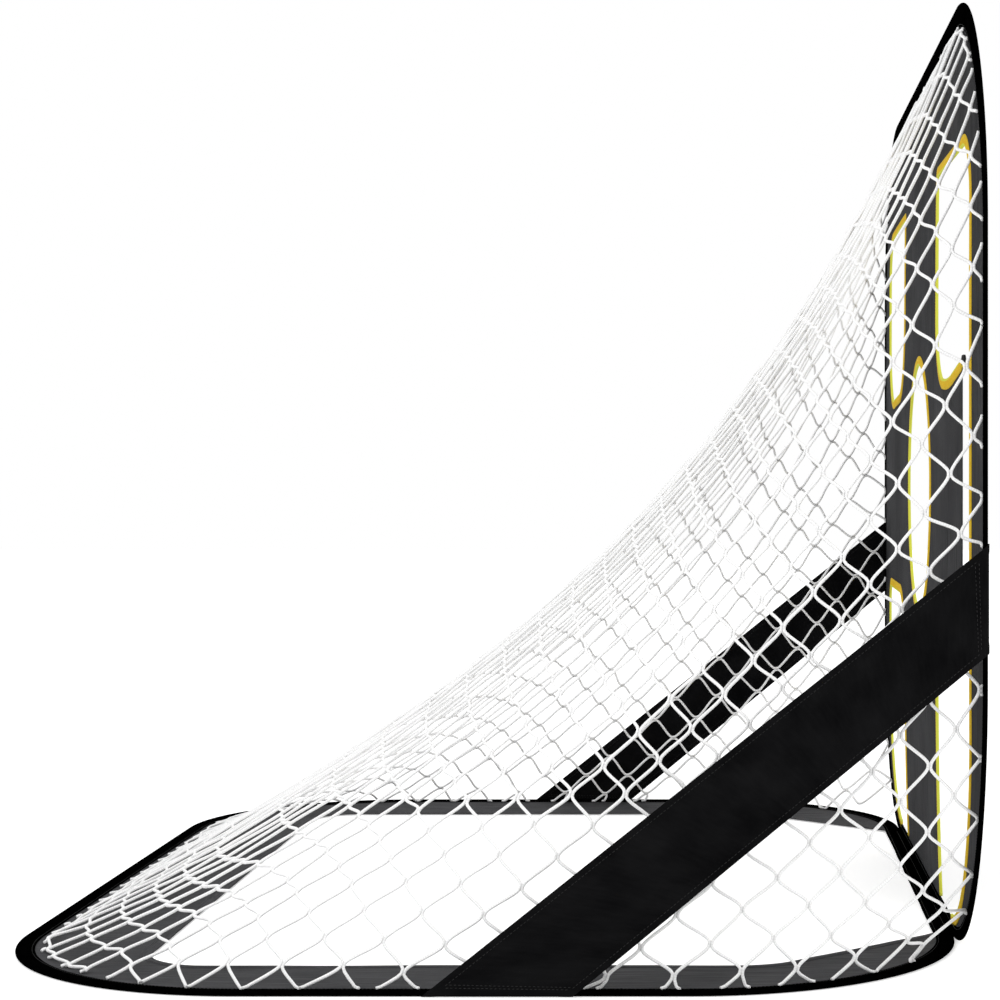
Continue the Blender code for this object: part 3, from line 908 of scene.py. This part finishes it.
# Sleeves: a strip folded round each hoop's wire and sewn along its inner edge
sleeveSet = {
    "cloth": 0.0004, "tubeSteps": 12, "flapHalf": 0.0011,
    "waver": 0.0005, "waverLength": 0.045, "pucker": 0.0003, "puckerLength": 0.012,
    "seam": 0.0025, "stitch": 0.0036,
}


def sleeveSection(width, values):
    # inwards distances are negative, because the path is the hoop's outer edge
    def turn(radius, half):
        start = math.asin(half / radius)
        angles = start + (2 * math.pi - 2 * start) * np.arange(values["tubeSteps"] + 1) / values["tubeSteps"]
        bend = np.stack([-tubeRadius - radius * np.cos(angles), radius * np.sin(angles)], axis=1)
        middle = -(tubeRadius + width) / 2
        return [(-width, half), (middle, half), *bend, (middle, -half), (-width, -half)]
    inner = turn(tubeRadius - values["cloth"], values["flapHalf"] - values["cloth"])
    return np.array(turn(tubeRadius, values["flapHalf"]) + inner[::-1])


def sleeveDrift(width, values, seed, extra):
    def drift(run, section):
        edge = np.clip((-section[:, 0] - 2 * tubeRadius) / (width - 2 * tubeRadius), 0, 1)
        slow = waveAlong(run, values["waverLength"], seed, 0)
        quick = waveAlong(run, values["puckerLength"], seed, 9)
        inward = (slow * values["waver"] - extra)[:, None] * edge[None]
        across = quick[:, None] * edge[None] * (1 - edge[None]) * 4 * values["pucker"]
        return np.stack([inward, across], axis=-1)
    return drift


def makeSleeve(name, hoop, width, headExtra, place, body, node, values, sides, seed):
    path = hoopLoop(hoop, 0)
    extra = headExtra * headShare(path[:, 1])
    sleeve = sweptCloth(name, path, sleeveSection(width, values), place,
                        materials["blackOxfordPolyester"], True, sleeveDrift(width, values, seed, extra))
    settle(sleeve, body, "sleeve_cloth", node)
    length = float(runLength(path)[-1])
    inwards = -(width - values["seam"] + extra)[:, None]
    rows = [seamLine(path, inwards, side * (values["flapHalf"] + 0.0001), place) for side in sides]
    thread = stitched(name + "_stitches", rows, "blackThread", values["stitch"])
    settle(thread, body, "sleeve_cloth")


makeSleeve("face_sleeve", faceHoop, hoops["faceSleeveWidth"], hoops["headExtra"], onBowedFace, "front",
           "front_sleeve", sleeveSet, (-1, 1), 1.5)
makeSleeve("ground_sleeve", groundHoop, hoops["groundSleeveWidth"], 0, onGround, "base",
           "base_sleeve", sleeveSet, (1,), 4.5)
print("sleeves made")

# Border on the ground: taffeta with a turned hem at its inner edge and a gusset in each front corner
borderSet = {
    "side": 0.122, "rear": 0.143, "front": 0.015, "rearRadius": 0.060,
    "gussetLength": 0.184, "gussetWidth": 0.276, "gussetRadius": 0.070, "toeRadius": 0.020,
    "thickness": 0.0006, "spacing": 0.0065, "lie": -0.0012, "wave": 0.0011,
    "waveAcross": 0.022, "waveAlong": 0.13, "puckerDepth": 0.0006, "puckerLength": 0.016,
    "puckerFrom": 0.018, "puckerReach": 0.05, "puckerRise": 0.008,
    "settleFrom": 0.012, "settleReach": 0.03, "broadLength": 0.09, "hemEdge": 0.0004,
    "hem": 0.011, "hemThickness": 0.0014, "hemSeam": 0.0085, "stitch": 0.0036,
}


def borderOpening(values):
    x, toe = goalWidth / 2 - values["side"], goalWidth / 2 - values["gussetWidth"]
    rear = groundLength - values["rear"]
    right = [(toe, values["front"], values["toeRadius"]),
             (x, values["gussetLength"], values["gussetRadius"]),
             (x, rear, values["rearRadius"])]
    left = [(-px, py, radius) for px, py, radius in reversed(right)]
    return roundedLoop(right + left, 0.005)


def makeBorder(values):
    outline = hoopLoop(groundHoop, hoops["sheetInset"])
    opening = borderOpening(values)

    def lift(points):
        # the cloth leaves the sleeve's slit and settles on the ground in long shallow waves
        toHoop = distanceTo(points, outline)
        settled = np.clip((toHoop - values["settleFrom"]) / values["settleReach"], 0, 1)
        ripple = wave(points / (values["waveAcross"], values["waveAlong"]), 1, 3.3)
        broad = wave(points, values["broadLength"], 5.2)
        flat = settled * (values["lie"] + values["wave"] * (0.5 + 0.4 * ripple + 0.5 * broad))
        return flat + puckers(toHoop, values) * values["puckerDepth"] * wave(
            points, values["puckerLength"], 1.7)

    border = flatCloth("ground_border", outline, [opening], values["spacing"], values["thickness"],
                       lift, onGround, materials["greyTaffetaPolyester"])
    settle(border, "base", "panel_cloth", "base_border")
    half, edge = values["hemThickness"] / 2, values["hemEdge"]
    section = [(-edge, -half * 0.6), (edge, -half), (values["hem"], -half), (values["hem"], half),
               (edge, half), (-edge, half * 0.6)]

    def hemPlace(points):
        return onGround(points + np.column_stack([points[:, :2] * 0, lift(points[:, :2])]))

    hem = sweptCloth("border_hem", opening, section, hemPlace, materials["greyTaffetaPolyester"])
    settle(hem, "base", "panel_cloth")
    row = seamLine(opening, values["hemSeam"], half, hemPlace)
    thread = stitched("border_hem_stitches", [row], "greyThread", values["stitch"])
    settle(thread, "base", "panel_cloth")


makeBorder(borderSet)
print("border made")

# Side straps: wide cloth, hemmed along both edges, wrapped round the two sleeves at its ends
strapSet = {
    "frontHigh": 0.396, "frontLow": 0.300, "baseFar": 0.497, "baseNear": 0.364,
    "gap": 0.0006, "along": 150, "across": 30, "thickness": 0.0008, "hemThickness": 0.0017,
    "hem": 0.006, "wrinkle": 0.0013, "fine": 0.0004, "wrapDegrees": 75, "footWrapDegrees": 42,
    "endSeams": (0.010, 0.016), "stitch": 0.0038, "hemSeam": 0.0045, "width": 0.078,
    "hemStep": 0.0008, "wrinkleLength": 0.06, "fineLength": 0.018, "tautShare": 0.08,
    "floorGap": 0.0005, "heldByGround": (0.424, 0), "heldByFace": (0, 0.350),
}


def strapPoint(y, z, side, values):
    # a flat strap's point, taken round the front hoop's tube or the ground hoop's tube past its middle
    radius = tubeRadius + values["gap"]
    centreX = goalWidth / 2 - tubeRadius
    turnFront = np.clip((faceY - y) / radius, 0, None)
    turnBase = np.clip((groundZ - z) / radius, 0, None)
    bend = np.maximum(turnFront, turnBase)
    x = centreX + radius * np.cos(bend)
    y = np.where(turnFront > 0, faceY - radius * np.sin(turnFront), y)
    z = np.where(turnBase > 0, groundZ - radius * np.sin(turnBase), z)
    return np.stack([side * x, y, z], axis=-1)


def strapFlat(u, v, values):
    # u runs from the front hoop to the ground hoop, v from the upper edge to the lower edge
    radius = tubeRadius + values["gap"]
    front = faceY - radius * math.radians(values["wrapDegrees"])
    foot = groundZ - radius * math.radians(values["footWrapDegrees"])
    start = -groundHigh.y
    high = (start, values["frontHigh"]), (start + values["baseFar"], values["floorGap"])
    low = (start, values["frontLow"]), (start + values["baseNear"], values["floorGap"])

    def edge(pair, share):
        (ya, za), (yb, zb) = pair
        slope = (zb - za) / (yb - ya)
        first, last = front, yb + (foot - zb) / slope
        y = first + (last - first) * share
        return y, za + slope * (y - ya)

    yHigh, zHigh = edge(high, u)
    yLow, zLow = edge(low, u)
    return yHigh + (yLow - yHigh) * v, zHigh + (zLow - zHigh) * v


def makeStrap(name, side, node, values):
    u, v = np.meshgrid(np.linspace(0, 1, values["along"]), np.linspace(0, 1, values["across"]),
                       indexing="ij")
    y, z = strapFlat(u, v, values)
    middle = strapPoint(y, z, side, values)
    flat = np.stack([y, z], axis=-1).reshape(-1, 2)
    free = np.clip(np.minimum(u, 1 - u) / values["tautShare"], 0, 1) ** 2
    relief = values["wrinkle"] * wave(flat, values["wrinkleLength"], 3 + side)
    relief += values["fine"] * wave(flat, values["fineLength"], 6 + side)
    middle[..., 0] += side * free * relief.reshape(u.shape)
    width = values["width"]
    toEdge = np.minimum(v, 1 - v) * width
    step = np.clip((values["hem"] - toEdge) / values["hemStep"] + 1, 0, 1)
    thickness = values["thickness"] + (values["hemThickness"] - values["thickness"]) * step
    lengths = np.linalg.norm(np.diff(middle, axis=0), axis=2).sum(axis=0)
    uv = np.stack([v * width, u * lengths.mean()], axis=-1)
    strap = slabCloth(name, middle, thickness, uv, materials["blackStrapPolyester"])
    held = values["heldByGround"], values["heldByFace"]
    settleAcross(strap, "strap_cloth", *held, node)
    rows = []
    for face in (1, -1):
        lift = face * (values["hemThickness"] / 2)
        for share in (values["hemSeam"] / width, 1 - values["hemSeam"] / width):
            column = round(share * (values["across"] - 1))
            rows.append(middle[4:-4, column] + (lift, 0, 0))
        for distance in values["endSeams"]:
            for share in (distance / lengths.mean(), 1 - distance / lengths.mean()):
                row = round(share * (values["along"] - 1))
                rows.append(middle[row, 2:-2] + (lift * 0.6, 0, 0))
    thread = stitched(name + "_stitches", rows, "blackThread", values["stitch"])
    settleAcross(thread, "strap_cloth", *held)


makeStrap("strap_left", -1, "side_strap_left", strapSet)
makeStrap("strap_right", 1, "side_strap_right", strapSet)
print("straps made")

# Hinge tape: a strip sewn to both sleeves where they meet on the ground
tapeSet = {"leg": 0.0085, "end": 0.020, "thickness": 0.0006, "gap": 0.0004, "stitch": 0.0036,
           "bendRadius": 0.002, "wobble": 0.0003, "wobbleLength": 0.012, "columns": 160,
           "heldByGround": (0.006, -0.003), "heldByFace": (-0.003, 0.006)}


def makeTape(values):
    half = goalWidth / 2 - max(hoops["faceFootRadius"], hoops["groundRadius"]) - values["end"]
    low = groundZ + tubeRadius + values["gap"]
    back = faceY + sleeveSet["flapHalf"] + values["gap"] + values["thickness"] / 2
    turn = np.linspace(0, math.pi / 2, 6)
    r = values["bendRadius"]
    bend = np.stack([back + r - r * np.sin(turn), low + r - r * np.cos(turn)], axis=1)
    ground = np.stack([np.linspace(back + values["leg"], back + r, 6)[:-1], np.full(5, low)], axis=1)
    rise = np.stack([np.full(5, back), np.linspace(low + r, low + values["leg"], 6)[1:]], axis=1)
    section = np.concatenate([ground, bend, rise])
    xs = np.linspace(-half, half, values["columns"])
    middle = np.stack([np.repeat(xs[:, None], len(section), axis=1),
                       np.repeat(section[None, :, 0], len(xs), axis=0),
                       np.repeat(section[None, :, 1], len(xs), axis=0)], axis=-1)
    run = runLength(section)
    flat = np.stack([np.repeat(xs, len(section)), np.tile(run, len(xs))], axis=1)
    ripple = wave(flat, values["wobbleLength"], 8.8)
    middle[..., 2] += np.abs(ripple.reshape(len(xs), -1)) * values["wobble"]
    thickness = np.full(middle.shape[:2], values["thickness"])
    uv = np.stack(np.broadcast_arrays(run[None], (xs + half)[:, None]), axis=-1)
    tape = slabCloth("hinge_strip", middle, thickness, uv, materials["blackOxfordPolyester"])
    rows = [middle[2:-2, 2] + (0, 0, 0.0004), middle[2:-2, -3] + (0, 0.0004, 0)]
    thread = stitched("hinge_strip_stitches", rows, "blackThread", values["stitch"])
    held = values["heldByGround"], values["heldByFace"]
    settleAcross(tape, "sleeve_cloth", *held, "hinge_tape")
    settleAcross(thread, "sleeve_cloth", *held)


makeTape(tapeSet)
print("hinge tape made")

# Net: flat knotless netting, cut along a line and sewn to both sleeves while it is pulled taut.
# A station says how far along a seam from the hinge (metres) which place of the netting is sewn,
# counted in cords that run back and in cords that run across. The other half is its mirror image.
netSet = {
    "backCords": 58, "crossCords": 33,
    "faceStations": [
        (0.100, 0.4, 16.6), (0.284, 3.1, 14), (0.405, 5, 12), (0.449, 6, 11.35), (0.535, 7.5, 10),
        (0.623, 8.75, 8), (0.731, 10.1, 6), (0.770, 10.65, 5), (0.795, 11, 4.55), (0.873, 12.4, 3),
        (0.953, 14, 1.7), (0.987, 15, 1.3), (1.012, 15.9, 1), (1.2, 20.4, 0.95), (1.5418, 29, 0.95)],
    "groundStations": [
        (0.100, 0.4, 16.6), (0.266, 3.5, 19), (0.398, 6, 21.15), (0.455, 6.8, 22), (0.581, 9, 24.25),
        (0.718, 11, 26.85), (0.875, 14.1, 30), (0.951, 16, 31), (0.988, 17, 31.05), (1.5116, 29, 31.5)],
    # the bars pull themselves to one length by the sleeves, and draw into a saddle in the middle
    "bar": 0.0374, "evenFrom": 0.3, "evenRounds": 6, "evenReach": 21.9, "rearReach": 6.0,
    "tension": (0.39, 5.9),
    "sideCross": 1.0, "middleCross": 0.42, "topCross": 0.61,  # pull of the bars across the net
    "sideBack": 1.82, "middleBack": 0.10, "topBack": 2.48,  # and of the bars that run back
    "cord": 0.0031, "backGirth": 1.34, "crossGirth": 0.98, "sides": 8, "barSteps": 8,
    "joint": 0.0042, "jointLean": 0.75, "apart": 0.80, "pull": 0.52, "turnOut": 0.55,
    "faceInset": 0.0125, "headInset": 0.0140, "groundInset": 0.0175, "rearInset": 0.0100,
    "seamLift": 0.0029,
    "tuck": 0.0050, "tuckLift": 0.0017, "tuckGirth": 0.7, "tuckOut": 0.3,  # the cut end, under the stitches
    "stray": 0.0008, "girth": 0.06, "pieces": 3, "seed": 11,
    "flatKeep": 0.001, "flatHeight": 0.0026,  # folded, it lies flat below the border and the panel
}


def unit(vector):
    return vector / max(np.linalg.norm(vector), 1e-9)


def seamOn(hoop, inset, farInset, place):
    # from metres along a sleeve's inner edge, past it and off the cloth, to a point in the room
    loop = hoopLoop(hoop, inset, 0.003)
    feet = np.flatnonzero(np.abs(loop[:, 1] - inset) < 1e-6)
    left, right = feet[np.argmin(loop[feet, 0])], feet[np.argmax(loop[feet, 0])]
    route = np.roll(loop, -right, axis=0)[:(left - right) % len(loop) + 1][::-1]
    along, out = runLength(route), -outwards(route, False)
    route = route - out * (farInset * headShare(route[:, 1]))[:, None]

    def at(run, past, lift):
        flat = [np.interp(run, along, route[:, k] + out[:, k] * past) for k in (0, 1)]
        return place(np.array([[*flat, lift]]))[0]

    return at, along[-1]


def cutNetting(values):
    # the joints inside the cut line, and for each cut bar what is left of it and where it is sewn
    seams = [seamOn(faceHoop, values["faceInset"], values["headInset"], onBowedFace),
             seamOn(groundHoop, values["groundInset"], values["rearInset"], onGround)]
    lines = []
    for (_, total), stations in zip(seams, (values["faceStations"], values["groundStations"])):
        half = np.array(stations)
        lines.append(np.concatenate([half, half[-2::-1] * (-1, -1, 1) + (total, values["backCords"], 0)]))
    first = np.concatenate([line[:-1] for line in lines])
    last = np.concatenate([line[1:] for line in lines])
    ofSeam = np.repeat((0, 1), [len(line) - 1 for line in lines])
    edge = last[:, 1:] - first[:, 1:]
    loop = np.concatenate([lines[0], lines[1][-2:0:-1]])[:, 1:]
    lattice = np.array([(i, j) for i in range(values["backCords"] + 1)
                        for j in range(values["crossCords"] + 1)])
    joints = {tuple(knot): k for k, knot in enumerate(lattice[inside(lattice, loop)].tolist())}
    cuts = {}
    for knot in joints:
        for step in ((1, 0), (-1, 0), (0, 1), (0, -1)):
            beyond = (knot[0] + step[0], knot[1] + step[1])
            if beyond in joints:
                continue
            gap = first[:, 1:] - knot
            with np.errstate(divide="ignore", invalid="ignore"):
                turn = step[0] * edge[:, 1] - step[1] * edge[:, 0]
                share = (gap[:, 0] * edge[:, 1] - gap[:, 1] * edge[:, 0]) / turn
                along = (gap[:, 0] * step[1] - gap[:, 1] * step[0]) / turn
            met = np.flatnonzero((share > -1e-9) & (share < 1 + 1e-9) & (along > -1e-9) & (along < 1 + 1e-9))
            met = met[np.argmin(share[met])]
            run = first[met, 0] + (last[met, 0] - first[met, 0]) * along[met]
            at = seams[ofSeam[met]][0]
            end, foot = at(run, 0, values["seamLift"]), at(run, 0, values["tuckLift"])
            cuts[knot, beyond] = (max(share[met], 0.001), end, foot, unit(end - foot),
                                  unit(at(run, values["tuck"], values["tuckLift"]) - foot))
    return joints, cuts


def tautNet(joints, cuts, values):
    # Each joint rests where its four bars balance. A bar that comes out longer than the netting's own
    # bars pulls harder in the next round, and a cut one pulls as the short piece that is left of it.
    bars = []
    for (i, j), row in joints.items():
        for beyond in ((i + 1, j), (i - 1, j), (i, j + 1), (i, j - 1)):
            place = (i + beyond[0]) / 2, (j + beyond[1]) / 2, beyond[0] != i
            if beyond not in joints:
                bars.append((row, -1, *place, *cuts[(i, j), beyond][:2]))
            elif joints[beyond] > row:
                bars.append((row, joints[beyond], *place, 1.0, np.zeros(3)))
    one, other = np.array([bar[:2] for bar in bars]).T
    column, line, crosses, share = np.array([bar[2:6] for bar in bars], dtype=float).T
    ends = np.array([bar[6] for bar in bars])
    inner = other >= 0
    middle = smoothShare(np.minimum(column, values["backCords"] - column) / values["evenReach"])
    # the ground's rear seam crosses the netting 1.5 cords before its last one
    middle *= smoothShare((values["crossCords"] - 1.5 - line) / values["rearReach"])
    high = np.clip(1 - line / (values["crossCords"] - 2), 0, 1)
    kinds = [(values["side" + kind] + (values["middle" + kind] - values["side" + kind]) * middle)
             * (1 + values["top" + kind] * high) for kind in ("Cross", "Back")]
    slack = np.where(crosses > 0, *kinds)
    tension = np.ones(len(bars))
    for _ in range(values["evenRounds"] + 1):
        q = tension * slack / share
        pull, held = np.zeros((len(joints), len(joints))), np.zeros((len(joints), 3))
        np.add.at(pull, (one, one), q)
        np.add.at(pull, (other[inner], other[inner]), q[inner])
        np.add.at(pull, (one[inner], other[inner]), -q[inner])
        np.add.at(pull, (other[inner], one[inner]), -q[inner])
        np.add.at(held, one[~inner], (q[:, None] * ends)[~inner])
        spots = np.linalg.solve(pull, held)
        lengths = np.linalg.norm(spots[one] - np.where(inner[:, None], spots[other], ends), axis=1)
        stretch = np.where(share > values["evenFrom"], lengths / (values["bar"] * share), 1)
        tension = np.clip(tension * stretch ** (1 - middle), *values["tension"])
    return spots


def netCords(values):
    # every cord zigzags through the netting and shares a joint with a neighbour at each turn
    joints, cuts = cutNetting(values)
    chance = np.random.default_rng(values["seed"])
    spots = tautNet(joints, cuts, values)
    spots += chance.normal(0, values["stray"], spots.shape)

    def seen(knot, beyond):
        return spots[joints[beyond]] if beyond in joints else cuts[knot, beyond][1]

    def girthOf(knot, beyond):
        return values["backGirth"] if beyond[0] == knot[0] else values["crossGirth"]

    frames = {}
    for (i, j), row in joints.items():
        back = unit(seen((i, j), (i + 1, j)) - seen((i, j), (i - 1, j)))
        across = unit(seen((i, j), (i, j + 1)) - seen((i, j), (i, j - 1)))
        up, side = unit(back * values["jointLean"] - across), back + across
        frames[i, j] = spots[row], up, unit(side - side @ up * up)

    reach, apart = values["joint"] / 2, values["cord"] / 2 * values["apart"]

    def sewn(knot, beyond, before):
        # a cut end runs straight on to its seam and is tucked under the stitches the way it came
        _, end, foot, off, out = cuts[knot, beyond]
        way = unit(end - before)
        flat = way - way @ off * off
        tuck = foot + unit(flat + out * max(values["tuckOut"] - flat @ out, 0)) * values["tuck"]
        return [end, tuck], [way, unit(tuck - end)]

    lines, girths = [], []
    for number in range(1, values["backCords"] + values["crossCords"]):
        walk = [knot for i in range(values["backCords"] + 1, -2, -1)
                for knot in ((i, number - i), (i - 1, number - i))]
        points, tangents, kinds = [], [], []
        for before, knot, after, turn in zip(walk, walk[1:], walk[2:], range(len(walk))):
            if knot not in joints:
                continue
            here, up, right = frames[knot]
            right = right * (1 if turn % 2 == 0 else -1)
            pair = [here + up * reach + right * apart, here - up * reach + right * apart]
            if before not in joints:
                ends, ways = sewn(knot, before, pair[0])
                points, tangents, kinds = ends[::-1], [-way for way in ways[::-1]], [1]
            points += pair
            tangents += [unit(values["turnOut"] * unit(here - seen(knot, before)) - up),
                         unit(values["turnOut"] * unit(seen(knot, after) - here) - up)]
            kinds += [girthOf(knot, before), 1]
            if after not in joints:
                ends, ways = sewn(knot, after, pair[1])
                kinds += [girthOf(knot, after), 1]
                line, girth = smoothCord(points + ends, tangents + ways, kinds, values)
                lines.append(line)
                girths.append(girth * (1 + values["girth"] * chance.uniform(-1, 1, len(line))))
    return lines, girths


def smoothCord(points, tangents, kinds, values):
    # a smooth line through points; kinds says how thick the middle of each stretch is
    fine, girth = [points[0][None]], [np.array([values["tuckGirth"]])]
    for k in range(len(points) - 1):
        a, b, length = points[k], points[k + 1], np.linalg.norm(points[k + 1] - points[k])
        inJoint = kinds[k] == 1
        steps = 2 if inJoint else max(3, round(values["barSteps"] * min(length / values["bar"], 1)))
        t = (np.arange(1, steps + 1) / steps)[:, None]
        pull = values["pull"] * length
        fine.append((2 * t**3 - 3 * t**2 + 1) * a + (t**3 - 2 * t**2 + t) * tangents[k] * pull
                    + (3 * t**2 - 2 * t**3) * b + (t**3 - t**2) * tangents[k + 1] * pull)
        girth.append(1 + (kinds[k] - 1) * np.clip(6 * t * (1 - t), 0, 1)[:, 0])
    girth[-1][-1] = values["tuckGirth"]
    return np.concatenate(fine), np.concatenate(girth)


def dressNet(values):
    lines, girths = netCords(values)
    sizes = np.cumsum([len(line) for line in lines])
    cuts = [int(np.searchsorted(sizes, sizes[-1] * k / values["pieces"]))
            for k in range(values["pieces"] + 1)]
    for part, (first, last) in enumerate(zip(cuts[:-1], cuts[1:])):
        source = linesObject("netLines", lines[first:last], girths[first:last])
        net = grown(f"net_part_{part + 1}", source, netTree, {
            "Cord Diameter": values["cord"], "Sides": values["sides"],
            "Cord": materials["whiteKnotlessCord"]})
        settle(net, "base", "net_cord", "net")
        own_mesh(net)


dressNet(netSet)
print("net made")

# Wires and their ferrules keep their meshes
for part, finish, slot in (("wire", "oiledSpringSteel", "spring_steel"),
                           ("wire_ferrule", "zincPlatedSteel", "ferrule_steel")):
    for hoop in ("front_", "base_"):
        node = frame["nodes"][hoop + part]
        node.data.materials.clear()
        node.data.materials.append(materials[finish])
